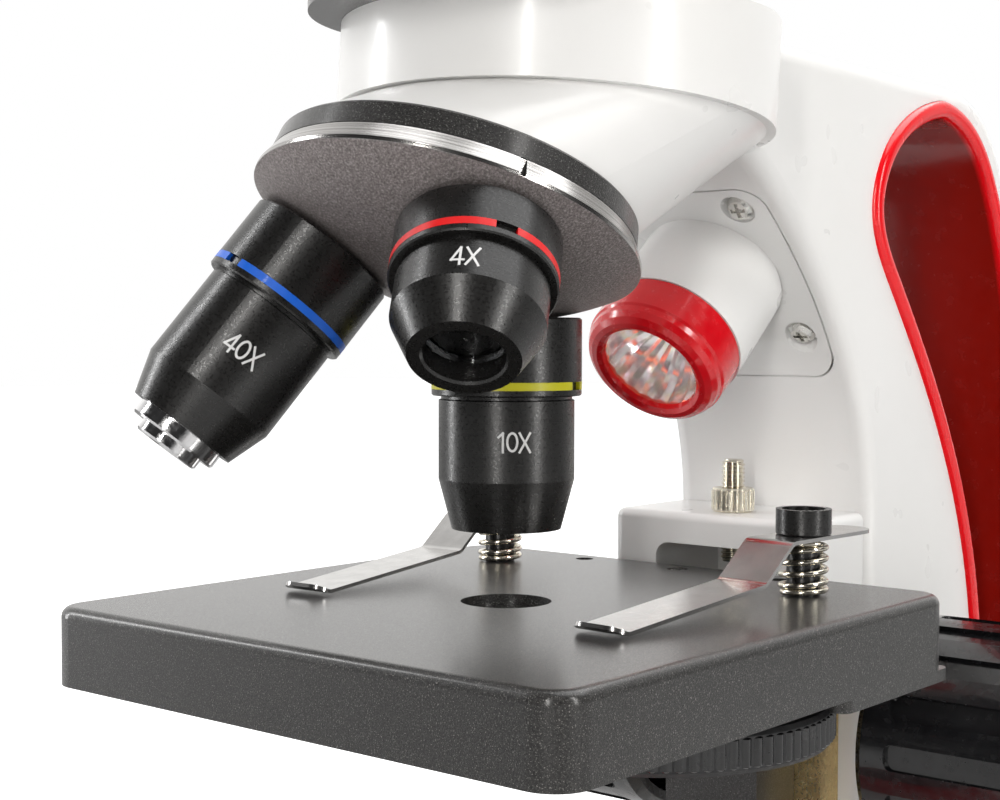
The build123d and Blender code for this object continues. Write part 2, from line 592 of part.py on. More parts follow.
with BuildPart() as focus_knobs:
    for sign in (-1, 1):
        outward = axis_frame(at(0, SHAFT_Y, SHAFT_Z), (sign, 0, 0), (0, 1, 0))
        turn(outward, [(SHAFT_R, KNOB_IN), (6.5, KNOB_IN), (6.5, KNOB_OUT - 5), (KNOB_R - 3.2, KNOB_OUT - 5),
                       (KNOB_R - 3.2, KNOB_IN), (KNOB_R - 1.5, KNOB_IN), (KNOB_R, KNOB_IN + 1.5),
                       (KNOB_R, KNOB_OUT - 2.2),
                       (KNOB_R - 0.7, KNOB_OUT - 0.7), (KNOB_R - 2.2, KNOB_OUT), (13.2, KNOB_OUT),
                       (12.4, KNOB_OUT - 0.8),
                       (0, KNOB_OUT - 0.8), (0, KNOB_OUT - 3), (SHAFT_R, KNOB_OUT - 3)])
        for k in range(KNOB_POCKETS):
            angle = 2 * math.pi * (k + POCKET_PHASE) / KNOB_POCKETS
            radial = Vector(0, math.cos(angle), math.sin(angle))
            origin = at(sign * (KNOB_IN + 16.6), SHAFT_Y, SHAFT_Z) + radial * (KNOB_R + 1)
            with BuildSketch(Plane(origin=origin, x_dir=(1, 0, 0), z_dir=radial)) as pocket:
                RectangleRounded(22, 4.2, 1.4)
            extrude(pocket.sketch, amount=-1.9, mode=Mode.SUBTRACT)
save(focus_knobs, "focus_knobs")

# ---- stage --------------------------------------------------------------------------
TOP_T, SKIRT_T = 3.5, 2.6
STAGE_MID = ((STAGE_LEFT + STAGE_RIGHT) / 2, (STAGE_FRONT + STAGE_BACK) / 2)
STAGE_W, STAGE_LEN = STAGE_RIGHT - STAGE_LEFT, STAGE_BACK - STAGE_FRONT
DISC_X, DISC_Y, DISC_R = 14.8, 14.2, 26.3
with BuildPart() as stage_plate:
    with BuildSketch(level(0, *STAGE_MID)):
        RectangleRounded(STAGE_W, STAGE_LEN, 5)
    extrude(amount=-SKIRT)
    with BuildSketch(level(-SKIRT, STAGE_MID[0], (17 + STAGE_BACK) / 2)):
        RectangleRounded(STAGE_W, STAGE_BACK - 17, 2)
    extrude(amount=-1.8)
    fillet(stage_plate.faces().sort_by(Axis.Z)[-1].edges(), radius=1.5)
    with BuildSketch(level(-TOP_T, *STAGE_MID)):
        RectangleRounded(STAGE_W - 2 * SKIRT_T, STAGE_LEN - 2 * SKIRT_T, 2.5)
    extrude(amount=-20, mode=Mode.SUBTRACT)
    rod(upright(DISC_X, DISC_Y), 4.5, -13.3, -TOP_T)
    rod(upright(DISC_X, DISC_Y), 1.6, -20, -TOP_T - 1, Mode.SUBTRACT)
    ring(upright(0, 0), 9.5, 6.5, -6.5, -TOP_T)
    rod(upright(0, 0), 6.5, -8, 1, Mode.SUBTRACT)
    for sign in (-1, 1):
        rod(upright(sign * POST_X, POST_Y), 4.4, -6.5, -TOP_T)
        rod(upright(sign * POST_X, POST_Y), 2.45, -7, 1, Mode.SUBTRACT)
        rod(upright(sign * 19, 43.8), 1.5, -TOP_T - 1, 1, Mode.SUBTRACT)
    rod(upright(0, 43.8), 1.75, -1.2, 1, Mode.SUBTRACT)
    rod(upright(0, 43.8), 1.35, -TOP_T - 1, 1, Mode.SUBTRACT)
    rod(upright(0, 34), 1.3, -TOP_T - 1, -1.2, Mode.SUBTRACT)
    slab(level(-4.4), (-9.3, 9.3), (44, 50), -12, Mode.SUBTRACT)
save(stage_plate, "stage_plate")

with BuildPart() as stage_carrier:
    slab(level(-10.4), (-9, 9), (28, 63.5), 5.8)
    slab(level(RACK_LOW), (-9, 9), (54, 66.3), RACK_TOP + 3.2 - RACK_LOW)
    with BuildSketch(level(RACK_LOW)):
        dovetail(0)
    extrude(amount=RACK_TOP - RACK_LOW)
    slab(level(-3.52), (-5, 5), (30, 46.2), -1.2)
    rod(upright(0, 34), 1.55, -12, -3, Mode.SUBTRACT)
    rod(upright(0, 43.8), 1.3, -12, -3, Mode.SUBTRACT)
save(stage_carrier, "stage_carrier")

with BuildPart() as condenser_lens:
    turn(upright(0, 0), [(0, -4.2), (6.45, -4.2), (6.45, -2.4), (3.2, -1.75), (0, -1.6)])
save(condenser_lens, "condenser_lens")

with BuildPart() as diaphragm_disc:
    disc = upright(DISC_X, DISC_Y)
    turn(disc, [(1.6 + RUN, -17), (20, -17), (20, -19), (DISC_R - 0.5, -19), (DISC_R, -18.4), (DISC_R, -14.1),
                (DISC_R - 0.5, -13.5), (1.6 + RUN, -13.5)])
    hole_ring = math.hypot(DISC_X, DISC_Y)
    start = math.atan2(-DISC_Y, -DISC_X)
    for k, hole_r in enumerate((5.0, 4.0, 3.0, 2.0, 1.2, 0.6)):
        angle = start + k * math.pi / 3
        if hole_ring < DISC_R - 7:
            spot = (DISC_X + hole_ring * math.cos(angle), DISC_Y + hole_ring * math.sin(angle))
        else:
            spot = (DISC_X + (DISC_R - 7) * math.cos(angle), DISC_Y + (DISC_R - 7) * math.sin(angle))
        rod(upright(*spot), hole_r, -20, -10, Mode.SUBTRACT)
save(diaphragm_disc, "diaphragm_disc")

with BuildPart() as stage_screws:
    screw(axis_frame(at(0, 34, -10.4), (0, 0, -1), (1, 0, 0)), 2.6, 1.4, 1.25, -9)
    screw(upright(0, 43.8, -1.2), 1.7, 1.0, 1.25, -8.5)
    turn(upright(DISC_X, DISC_Y), [(0, -18.8), (4, -18.8), (4, -17.2), (1.6, -17.2), (1.6, -5), (0, -5)])
save(stage_screws, "stage_screws")

with BuildPart() as clip_posts:
    for sign in (-1, 1):
        post = upright(sign * POST_X, POST_Y)
        turn(post, [(0, -8.2), (4, -8.2), (4, -6.6), (2.45, -6.6), (2.45, 8.95), (3.95, 8.95), (4.07, 9.1),
                    (4.07, 12.65),
                    (3.2, 12.65), (3.2, 10.4), (0, 10.4)])
save(clip_posts, "clip_posts")

with BuildPart() as clip_springs:
    wire_r = 0.42
    for sign in (-1, 1):
        foot = at(sign * POST_X, POST_Y, wire_r + 0.05)
        with BuildLine() as coil:
            Helix(pitch=1.72, height=7.1, radius=3.25, center=foot)
        with BuildSketch(Plane(origin=coil.line @ 0, z_dir=coil.line % 0)) as wire:
            Circle(wire_r)
        sweep(wire.sketch, path=coil.line)
save(clip_springs, "clip_springs")

CLIP_T, CLIP_W, CLIP_FLAT, CLIP_SWING = 0.55, 8.1, 8.3, 2.8


def clip(sign, name):
    """Sprung strip: flat under the post cap, steep step down, long shallow run, lifted tip."""
    swing = math.radians(CLIP_SWING)
    ahead = Vector(-sign * math.sin(swing), -math.cos(swing), 0)
    across = Vector(math.cos(swing), -sign * math.sin(swing), 0)
    section = Plane(origin=at(sign * POST_X, POST_Y, 0) - across * (CLIP_W / 2),
                    x_dir=ahead, z_dir=ahead.cross(Vector(0, 0, 1)))
    with BuildPart() as strip:
        with BuildSketch(section) as profile:
            with BuildLine() as line:
                FilletPolyline((-14.6, CLIP_FLAT), (8.6, CLIP_FLAT), (15.6, 3.0), (46.4, 0.25),
                               (48.6, 1.2), radius=2.2)
                offset(amount=CLIP_T, side=Side.LEFT, kind=Kind.ARC)
            make_face()
        extrude(profile.sketch, amount=CLIP_W if section.z_dir.dot(across) > 0 else -CLIP_W)
        top = upright(sign * POST_X, POST_Y)
        rod(top, 2.45 + RUN, 5, 12, Mode.SUBTRACT)
        tail = at(sign * POST_X, POST_Y, 0) - ahead * 14.6
        corners = strip.edges().filter_by(lambda e: abs(e.length - CLIP_T) < 0.05)
        ends = corners.filter_by(lambda e: (e.center() - tail).dot(ahead) < 1)
        fillet(ends, radius=CLIP_W / 2 - 0.15)
        corners = strip.edges().filter_by(lambda e: abs(e.length - CLIP_T) < 0.05)
        tips = corners.filter_by(lambda e: (e.center() - tail).dot(ahead) > 60)
        fillet(tips, radius=2.2)
    save(strip, name)


clip(1, "clip_right")
clip(-1, "clip_left")

# ---- nosepiece ----------------------------------------------------------------------
with BuildPart() as nosepiece_plate:
    turn(NOSE_FRAME, [(0, PLATE_TOP), (24.9, PLATE_TOP), (25.3, PLATE_TOP + 0.4), (25.8, PLATE_LOW),
                      (24.0, PLATE_LOW),
                      (24.0, PLATE_LOW - 0.9), (5.0, PLATE_LOW - 0.9), (5.0, PLATE_LOW), (0, PLATE_LOW)])
    rod(upright(0, 0), 7.5, 40, 70, Mode.SUBTRACT)
    rod(NOSE_FRAME, 2.5, 20, 40, Mode.SUBTRACT)
save(nosepiece_plate, "nosepiece_plate")

with BuildPart() as turret_pivot:
    turn(NOSE_FRAME, [(0, PLATE_TOP - 7), (2.5, PLATE_TOP - 7), (2.5, PLATE_LOW + 0.05),
                      (3.5, PLATE_LOW + 0.05), (3.5, 36.9),
                      (7.0, 36.9), (7.0, 38.4), (0, 38.4)])
    rod(NOSE_FRAME, 1.6, 37.4, 39, Mode.SUBTRACT)
save(turret_pivot, "turret_pivot")

def objective_axis(position):
    """Unit vector of an objective: 0 is the one in the light path."""
    return Vector(0, 0, -1).rotate(Axis((0, 0, 0), NOSE), 120 * position)


def objective_frame(position):
    along = objective_axis(position)
    return axis_frame(MEET, along, Vector(along.cross(NOSE)))


with BuildPart() as turret_dome:
    def cap_point(radius, r):
        return (r, math.sqrt(radius ** 2 - r ** 2))
    inner_r = DOME_R - 2.4
    with BuildSketch(NOSE_FRAME):
        with BuildLine():
            rim = cap_point(DOME_R, 27.0)
            Polyline((24.4, PLATE_LOW + 0.1), (25.8, PLATE_LOW + 0.1), (27.0, RIM_LOW - 0.5), rim)
            ThreePointArc(rim, cap_point(DOME_R, 14), (0, DOME_R))
            Line((0, DOME_R), (0, inner_r))
            ThreePointArc((0, inner_r), cap_point(inner_r, 12), cap_point(inner_r, 23.2))
            Polyline(cap_point(inner_r, 23.2), (24.4, PLATE_LOW + 2.6), (24.4, PLATE_LOW + 0.1))
        make_face()
    revolve(axis=Axis(MEET, NOSE))
    for position in range(3):
        rod(objective_frame(position), 9.0, 38.4, 41.9)
    turn(NOSE_FRAME, [(3.5 + RUN, PLATE_LOW + 0.2), (6.2, PLATE_LOW + 0.2), (6.2, 35.0), (11.6, 35.0),
                      (11.6, 40.8), (8.2, 40.8),
                      (8.2, 36.8), (3.5 + RUN, 36.8)])
    for position in range(3):
        rod(objective_frame(position), 7.0, 30, 46, Mode.SUBTRACT)
    for position in range(3):
        rim_dir = objective_axis(position)
        across = (rim_dir - NOSE * rim_dir.dot(NOSE)).normalized()
        notch = MEET + NOSE * (PLATE_LOW + 1.4) + across * 27.2
        with BuildSketch(Plane(origin=notch, x_dir=NOSE.cross(across), z_dir=NOSE)) as click:
            Rectangle(0.9, 3.2)
        extrude(click.sketch, amount=1.4, both=True, mode=Mode.SUBTRACT)
save(turret_dome, "turret_dome")


def objective(name, position, ring_low, barrel_end, tip, tip_r, mouth_r, mouth_depth, band_colour, gap_at):
    """Black turned objective with a snap-in colour band and a front lens."""
    frame = objective_frame(position)
    ring_top = 42.7
    band_low, band_high = ring_low - 2.05, ring_low - 0.9
    with BuildPart() as body:
        turn(frame, [(5.6, 36.0), (6.9, 36.0), (6.9, ring_top), (RING_R - 0.25, ring_top),
                     (RING_R, ring_top + 0.25), (RING_R, band_low),
                     (RING_R - 0.6, band_low), (RING_R - 0.6, band_high), (RING_R, band_high),
                     (RING_R, ring_low - 0.2),
                     (RING_R - 0.2, ring_low), (BARREL_R - 0.35, ring_low),
                     (BARREL_R - 0.35, ring_low + 0.45), (BARREL_R, ring_low + 0.6),
                     (BARREL_R, barrel_end), (tip_r, tip), (mouth_r + 0.3, tip), (mouth_r, tip - 0.3),
                     (mouth_r, tip - mouth_depth),
                     (5.6, tip - mouth_depth)])
    save(body, f"objective_{name}")
    with BuildPart() as band:
        ring(frame, RING_R + 0.02, RING_R - 0.58, band_low + 0.02, band_high - 0.02)
        toward_gap = frame.x_dir.rotate(Axis((0, 0, 0), frame.y_dir), gap_at)
        gap = Plane(origin=frame.origin + frame.y_dir * (band_low - 1), x_dir=toward_gap, z_dir=frame.y_dir)
        slab(gap, (5, 13), (-1.4, 1.4), 4, Mode.SUBTRACT)
    save(band, f"{band_colour}_band_{name}")


LOW_POWER, MID_POWER, HIGH_POWER = 1, 0, 2
objective("4x", LOW_POWER, 50.2, 56.2, 61.3, 7.03, 5.05, 2.6, "red", 93)
objective("10x", MID_POWER, 53.7, 65.5, 72.6, 7.79, 5.2, 2.6, "yellow", 164)
objective("40x", HIGH_POWER, 53.7, 67.8, 73.6, 7.79, 6.55, 5.4, "blue", 27)


with BuildPart() as front_lenses:
    for position, low in ((LOW_POWER, 56.2), (MID_POWER, 67.6)):
        turn(objective_frame(position), [(0, low), (5.5, low), (5.5, low + 1.6), (3.3, low + 2.0),
                (0, low + 2.2)])
save(front_lenses, "front_lenses")

with BuildPart() as nose_40x:
    frame = objective_frame(HIGH_POWER)
    turn(frame, [(2.2, 66.5), (5.5, 66.5), (5.5, 70.0), (6.45, 70.0), (6.45, 75.4), (6.2, 75.7),
                 (4.75, 75.7), (4.75, 76.9),
                 (4.45, 77.2), (3.1, 77.2), (2.2, 76.4)])
save(nose_40x, "nose_40x")

with BuildPart() as front_lens_40x:
    turn(objective_frame(HIGH_POWER), [(0, 75.0), (2.2, 75.0), (2.2, 76.2), (0, 76.4)])
save(front_lens_40x, "front_lens_40x")

# ---- head and eyepiece --------------------------------------------------------------
tilt = math.radians(TUBE_TILT)
TUBE_DIR = Vector(0, math.sin(tilt), math.cos(tilt))
TUBE_FRAME = axis_frame(at(0, 0, TUBE_FOOT), TUBE_DIR, (1, 0, 0))
SEAT_TOP = 93.0
LOCK_GRIP_R = 3.8         # stays under the head, whose corners sweep over the screw

with BuildPart() as head_seat:
    turn(upright(0, 0), [(10.5, ARM_TOP), (28, ARM_TOP), (28, ARM_TOP + 1.2), (26, ARM_TOP + 1.2),
                         (26, SEAT_TOP - 0.8),
                         (25.2, SEAT_TOP), (19.2, SEAT_TOP), (19.2, ARM_TOP + 1.2), (10.5, ARM_TOP + 1.2)])
    side_hole = axis_frame(at(0, 0, 89), (1, 0, 0), (0, 0, 1))
    rod(side_hole, 2.0 + RUN, 15, 40, Mode.SUBTRACT)
save(head_seat, "head_seat")

with BuildPart() as head_lock_screw:
    turn(side_hole, [(0, 19.6), (2.0, 19.6), (2.0, 26.6), (3.4, 26.6), (LOCK_GRIP_R, 27.1),
                     (LOCK_GRIP_R, 34.1),
                     (LOCK_GRIP_R - 0.6, 34.8), (0, 34.8)])
save(head_lock_screw, "head_lock_screw")

with BuildPart() as head_shell:
    with BuildSketch(side(-25)) as outline:
        with BuildLine():
            Polyline((-25.5, SEAT_TOP + 0.4), (25.5, SEAT_TOP + 0.4), (30.5, 100), (30.5, 110.5), (6, 135),
                     (-5, 135), (-25.5, 114), close=True)
        make_face()
        fillet(outline.vertices().sort_by(Axis.Y)[-4:], radius=5)
    extrude(amount=50)
    flanks = head_shell.faces().filter_by(Axis.X)
    fillet(flanks[0].edges() + flanks[-1].edges(), radius=6)
    rod(upright(0, 0), 19.2 - RUN, ARM_TOP + 2.2, SEAT_TOP + 1)
    turn(upright(0, 0), [(17.2, 85.8), (19.5, 87.6), (19.5, 90.4), (17.2, 92.2)], Mode.SUBTRACT)
    rod(upright(0, 0), 9.0, ARM_TOP, TUBE_FOOT - 13, Mode.SUBTRACT)
    rod(TUBE_FRAME, 14.0, 12, 60, Mode.SUBTRACT)
    slab(side(-13), (-13, 13), (TUBE_FOOT - 13, TUBE_FOOT + 13), 26, Mode.SUBTRACT)
save(head_shell, "head_shell")

with BuildPart() as head_prism:
    with BuildSketch(side(-11)):
        with BuildLine():
            Polyline((-10, 94), (10, 94), (12, 101), (3, 110), (-10, 105), close=True)
        make_face()
    extrude(amount=22)
save(head_prism, "head_prism")

with BuildPart() as tube_ring:
    turn(TUBE_FRAME, [(15.0, 25.6), (18.5, 25.6), (18.5, 30), (17.4, 31.6), (15.0, 31.6)])
save(tube_ring, "tube_ring")

with BuildPart() as eyepiece_tube:
    turn(TUBE_FRAME, [(11.65, 13.5), (13.9, 13.5), (13.9, 25.6), (14.9, 25.6), (14.9, 77), (14.4, 77.5),
                      (12.2, 77.5), (11.65, 77)])
save(eyepiece_tube, "eyepiece_tube")

with BuildPart() as eyepiece_barrel:
    turn(TUBE_FRAME, [(10.2, 52), (11.65 - RUN, 52), (11.65 - RUN, 77.6), (14.9, 77.6), (15.6, 79),
                      (15.6, 91), (13.6, 93), (12, 97), (9.2, 97),
                      (9.2, 88), (10.2, 88)])
save(eyepiece_barrel, "eyepiece_barrel")

with BuildPart() as eyepiece_lenses:
    turn(TUBE_FRAME, [(0, 55), (10.1, 55), (10.1, 56.5), (5, 58.2), (0, 58.8)])
    turn(TUBE_FRAME, [(0, 91), (4, 91.4), (9.1, 93), (9.1, 94.6), (0, 95.4)])
save(eyepiece_lenses, "eyepiece_lenses")

with BuildPart() as eyecup:
    turn(TUBE_FRAME, [(13.7, 93.1), (15.6, 91.2), (16.4, 92), (17.2, 104.5), (16.4, 105), (15.6, 104.4),
                      (14.6, 97.6), (12.1, 97.4)])
save(eyecup, "eyecup")
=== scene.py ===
import json
import math

import bmesh
import bpy
from mathutils import Matrix, Vector


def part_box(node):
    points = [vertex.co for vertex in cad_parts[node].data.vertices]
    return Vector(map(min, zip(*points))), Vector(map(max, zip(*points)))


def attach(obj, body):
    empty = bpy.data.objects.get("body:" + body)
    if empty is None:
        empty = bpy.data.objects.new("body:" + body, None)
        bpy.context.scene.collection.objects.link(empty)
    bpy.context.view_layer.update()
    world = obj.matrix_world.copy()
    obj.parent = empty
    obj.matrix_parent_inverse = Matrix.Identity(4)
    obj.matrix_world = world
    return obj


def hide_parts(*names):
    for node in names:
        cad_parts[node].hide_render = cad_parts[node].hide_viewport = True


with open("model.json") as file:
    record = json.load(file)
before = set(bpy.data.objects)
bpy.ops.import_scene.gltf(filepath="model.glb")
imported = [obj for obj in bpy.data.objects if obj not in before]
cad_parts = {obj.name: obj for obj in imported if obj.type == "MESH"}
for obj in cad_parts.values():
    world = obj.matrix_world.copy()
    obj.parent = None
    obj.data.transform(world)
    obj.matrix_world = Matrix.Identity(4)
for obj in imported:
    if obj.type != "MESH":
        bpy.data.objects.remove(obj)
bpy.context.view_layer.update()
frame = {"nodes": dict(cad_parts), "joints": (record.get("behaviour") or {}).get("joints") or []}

# Student compound microscope. Everything is in metres in the model's frame: +Z up, +Y towards
# the arm, table at Z = 0. Meshes are built in place, so object coordinates are model coordinates.

MM = 0.001
JOINT = {j["name"]: j for j in frame["joints"]}
UP = Vector((0, 0, 1))


# ---- places taken from the frame ----------------------------------------------------
def joint_spot(name):
    return Vector(JOINT[name]["pos_m"])


def joint_axis(name):
    return Vector(JOINT[name]["axis"]).normalized()


def middle(node):
    low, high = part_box(node)
    return (low + high) / 2


OPTICAL_Y = middle("base_field_lens").y
STAGE_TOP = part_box("stage_plate")[1].z
MEET = joint_spot("turret_turn")
NOSE = joint_axis("turret_turn")
AXIS_10X = Vector((0, 0, -1))
AXIS_40X = -joint_axis("nose_spring")
AXIS_4X = Vector((-AXIS_40X.x, AXIS_40X.y, AXIS_40X.z))
LAMP_TILT = math.radians(40.3)
LAMP_BACK = Vector((0, math.cos(LAMP_TILT), math.sin(LAMP_TILT)))
LAMP_RIM = Vector((0, OPTICAL_Y + 34.8 * MM, STAGE_TOP + 32.2 * MM))


def frame_about(axis, ref):
    """Two unit vectors square to an axis, the first towards ref."""
    first = (ref - axis * ref.dot(axis)).normalized()
    return first, axis.cross(first)


# ---- mesh building ------------------------------------------------------------------
def finish_mesh(name, bm, body, smooth=True, sharp_deg=35):
    bmesh.ops.recalc_face_normals(bm, faces=bm.faces)
    mesh = bpy.data.meshes.new(name)
    bm.to_mesh(mesh)
    bm.free()
    for face in mesh.polygons:
        face.use_smooth = smooth
    if smooth:
        mesh.set_sharp_from_angle(angle=math.radians(sharp_deg))
    obj = bpy.data.objects.new(name, mesh)
    bpy.context.scene.collection.objects.link(obj)
    if body:
        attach(obj, body)
    return obj


def grid_mesh(name, rows, body, closed_rows=False, cap_ends=False, **kw):
    """Skin over rows of points; each row is a closed loop of the same length."""
    bm = bmesh.new()
    loops = [[bm.verts.new(p) for p in row] for row in rows]
    pairs = list(zip(loops, loops[1:] + loops[:1])) if closed_rows else list(zip(loops, loops[1:]))
    for a, b in pairs:
        count = len(a)
        for i in range(count):
            j = (i + 1) % count
            bm.faces.new((a[i], a[j], b[j], b[i]))
    if cap_ends:
        bm.faces.new(loops[0])
        bm.faces.new(reversed(loops[-1]))
    return finish_mesh(name, bm, body, **kw)


def turned(name, origin, axis, ref, profile, body, segments=96, ribs=0, rib_depth=0.0,
           ribbed=(), closed=True, **kw):
    """Turned piece from (radius, distance) points in mm; points in ribbed get a cosine rib wave."""
    u, v = frame_about(axis, ref)
    rows = []
    for index, (r, d) in enumerate(profile):
        row = []
        for s in range(segments):
            a = 2 * math.pi * s / segments
            cut = rib_depth * (0.5 + 0.5 * math.cos(ribs * a)) if index in ribbed else 0.0
            radius = (r - cut) * MM
            row.append(origin + axis * (d * MM) + (u * math.cos(a) + v * math.sin(a)) * radius)
        rows.append(row)
    return grid_mesh(name, rows, body, closed_rows=closed, **kw)


def tube(name, points, radius, body, sides=14, **kw):
    """Round wire along a smooth list of points."""
    rows = []
    side = None
    for i, p in enumerate(points):
        ahead = points[min(i + 1, len(points) - 1)] - points[max(i - 1, 0)]
        ahead.normalize()
        if side is None:
            side = UP.cross(ahead)
        side = (side - ahead * side.dot(ahead)).normalized()
        other = ahead.cross(side)
        turns = [2 * math.pi * k / sides for k in range(sides)]
        rows.append([p + (side * math.cos(a) + other * math.sin(a)) * radius for a in turns])
    return grid_mesh(name, rows, body, cap_ends=True, **kw)


# ---- procedural finishes ------------------------------------------------------------
class Finish:
    """A node material: one principled shader fed by object-space patterns."""

    def __init__(self, name, color, rough, metallic=0.0, **sockets):
        self.mat = bpy.data.materials.new(name)
        self.mat.use_nodes = True
        self.tree = self.mat.node_tree
        self.shader = self.tree.nodes["Principled BSDF"]
        self.shader.inputs["Base Color"].default_value = (*color, 1)
        self.shader.inputs["Roughness"].default_value = rough
        self.shader.inputs["Metallic"].default_value = metallic
        for key, value in sockets.items():
            self.shader.inputs[key.replace("_", " ").title().replace("Ior", "IOR")].default_value = value
        self.place = self.node("ShaderNodeTexCoord").outputs["Object"]
        self.height = None

    def node(self, kind, **settings):
        made = self.tree.nodes.new(kind)
        for key, value in settings.items():
            setattr(made, key, value)
        return made

    def feed(self, socket, value):
        if isinstance(value, bpy.types.NodeSocket):
            self.tree.links.new(value, socket)
        else:
            socket.default_value = value

    def math(self, operation, a, b=0.0, clamp=False):
        made = self.node("ShaderNodeMath", operation=operation, use_clamp=clamp)
        self.feed(made.inputs[0], a)
        self.feed(made.inputs[1], b)
        return made.outputs[0]

    def grain(self, size_mm, detail=3.0, vector=None, rough=0.5):
        """Noise with features of about that size, 0 to 1."""
        made = self.node("ShaderNodeTexNoise")
        self.feed(made.inputs["Vector"], vector or self.place)
        made.inputs["Scale"].default_value = 1 / (size_mm * MM)
        made.inputs["Detail"].default_value = detail
        made.inputs["Roughness"].default_value = rough
        return made.outputs["Fac"]

    def stretched(self, factors):
        made = self.node("ShaderNodeMapping")
        self.feed(made.inputs["Vector"], self.place)
        made.inputs["Scale"].default_value = factors
        return made.outputs[0]

    def along(self, origin, axis):
        """Distance along an axis from a point, in metres."""
        shift = self.node("ShaderNodeVectorMath", operation="SUBTRACT")
        self.feed(shift.inputs[0], self.place)
        shift.inputs[1].default_value = origin
        dot = self.node("ShaderNodeVectorMath", operation="DOT_PRODUCT")
        self.feed(dot.inputs[0], shift.outputs[0])
        dot.inputs[1].default_value = axis
        return dot.outputs["Value"]

    def lines(self, origin, axis, size_mm, detail=4.0):
        """Turning marks: noise that changes only along the axis."""
        made = self.node("ShaderNodeTexNoise", noise_dimensions="1D")
        self.feed(made.inputs["W"], self.along(origin, axis))
        made.inputs["Scale"].default_value = 1 / (size_mm * MM)
        made.inputs["Detail"].default_value = detail
        return made.outputs["Fac"]

    def ramp(self, value, *stops):
        made = self.node("ShaderNodeValToRGB")
        self.feed(made.inputs["Fac"], value)
        band = made.color_ramp
        while len(band.elements) < len(stops):
            band.elements.new(0.5)
        for element, (place, color) in zip(band.elements, stops):
            element.position = place
            element.color = (*color, 1) if isinstance(color, tuple) else (color, color, color, 1)
        return made.outputs["Color"]

    def color(self, socket):
        self.feed(self.shader.inputs["Base Color"], socket)
        return self

    def rough(self, value, low, high):
        made = self.node("ShaderNodeMapRange")
        self.feed(made.inputs["Value"], value)
        made.inputs["From Min"].default_value = 0.3
        made.inputs["From Max"].default_value = 0.7
        made.inputs["To Min"].default_value = low
        made.inputs["To Max"].default_value = high
        self.feed(self.shader.inputs["Roughness"], made.outputs["Result"])
        return self

    def bump(self, value, depth_mm, strength=1.0):
        made = self.node("ShaderNodeBump")
        made.inputs["Distance"].default_value = depth_mm * MM
        made.inputs["Strength"].default_value = strength
        self.feed(made.inputs["Height"], value)
        if self.height:
            self.feed(made.inputs["Normal"], self.height)
        self.height = made.outputs["Normal"]
        self.feed(self.shader.inputs["Normal"], self.height)
        return self

    def mix(self, factor, a, b):
        made = self.node("ShaderNodeMix", data_type="RGBA")
        self.feed(made.inputs["Factor"], factor)
        self.feed(made.inputs["A"], a if isinstance(a, bpy.types.NodeSocket) else (*a, 1))
        self.feed(made.inputs["B"], b if isinstance(b, bpy.types.NodeSocket) else (*b, 1))
        return made.outputs["Result"]


def white_paint():
    """Even stove enamel: fine orange peel and a very slight drift of tone."""
    f = Finish("white_enamel", (0.86, 0.855, 0.845), 0.3, coat_weight=0.3, coat_roughness=0.14)
    f.color(f.ramp(f.grain(40, 1.0), (0.35, (0.85, 0.845, 0.832)), (0.65, (0.875, 0.87, 0.862))))
    f.rough(f.grain(9, 2.0), 0.27, 0.34)
    return f.bump(f.grain(1.6, 1.0), 0.006).mat


def sand_coat(name, dark, light, grain_mm=0.3, depth=0.07, rough=(0.3, 0.46)):
    """Sand-texture powder coat: fine bumps, with painted highlights where a few grains are coloured pale
    to look as if they catch the light.
    """
    f = Finish(name, dark, 0.4, specular_ior_level=0.25, coat_weight=0.7, coat_roughness=0.22)
    grains = f.grain(grain_mm, 3.0, rough=0.75)
    painted_glint_specks = f.grain(grain_mm * 0.6, 1.0)
    tone = f.ramp(grains, (0.42, dark), (0.68, tuple(a * 0.8 + b * 0.2 for a, b in zip(dark, light))))
    # painted highlights: specks of the pale colour mixed into the base colour stand in for grains catching
    # the light
    f.color(f.mix(f.ramp(painted_glint_specks, (0.64, 0.0), (0.70, 1.0)), tone, light))
    f.rough(grains, *rough)
    return f.bump(grains, depth).bump(painted_glint_specks, depth * 0.8).mat


def gloss(name, color, rough=0.12, peel=0.006, coat=0.5):
    f = Finish(name, color, rough, coat_weight=coat, coat_roughness=0.05)
    darker = tuple(c * 0.82 for c in color)
    f.color(f.ramp(f.grain(14, 2.0), (0.3, darker), (0.7, color)))
    f.rough(f.grain(1.8, 3.0), rough * 0.7, rough * 1.6)
    return f.bump(f.grain(2.4, 1.0), peel).mat


def liner_red():
    """Handle liner: bright red on the lips that stand proud, with painted shade making it deep brown-red
    down the bore.
    """
    f = Finish("red_liner_moulding", (0.5, 0.005, 0.006), 0.2, coat_weight=0.35, coat_roughness=0.08)
    sideways = f.math("ABSOLUTE", f.along(Vector((0, 0, 0)), Vector((1, 0, 0))))
    low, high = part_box("handle_liner")
    half = (high.x - low.x) / 2
    lip = f.node("ShaderNodeMapRange")
    f.feed(lip.inputs["Value"], sideways)
    lip.inputs["From Min"].default_value = half - 2.4 * MM
    lip.inputs["From Max"].default_value = half - 1.2 * MM
    # painted shade: the bore gets a deep brown-red base colour and only the lips keep the liner's bright
    # red
    f.color(f.mix(lip.outputs["Result"], (0.24, 0.006, 0.003), (0.86, 0.004, 0.010)))
    f.rough(f.grain(3.0, 3.0), 0.16, 0.3)
    return f.bump(f.grain(2.6, 1.0), 0.005).mat


def moulding(name, color, rough=0.5):
    f = Finish(name, color, rough)
    lighter = tuple(min(1.0, c * 1.35 + 0.004) for c in color)
    f.color(f.ramp(f.grain(2.0, 4.0), (0.35, color), (0.68, lighter)))
    f.rough(f.grain(1.1, 3.0), rough - 0.08, rough + 0.1)
    return f.bump(f.grain(0.35, 3.0), 0.05).mat


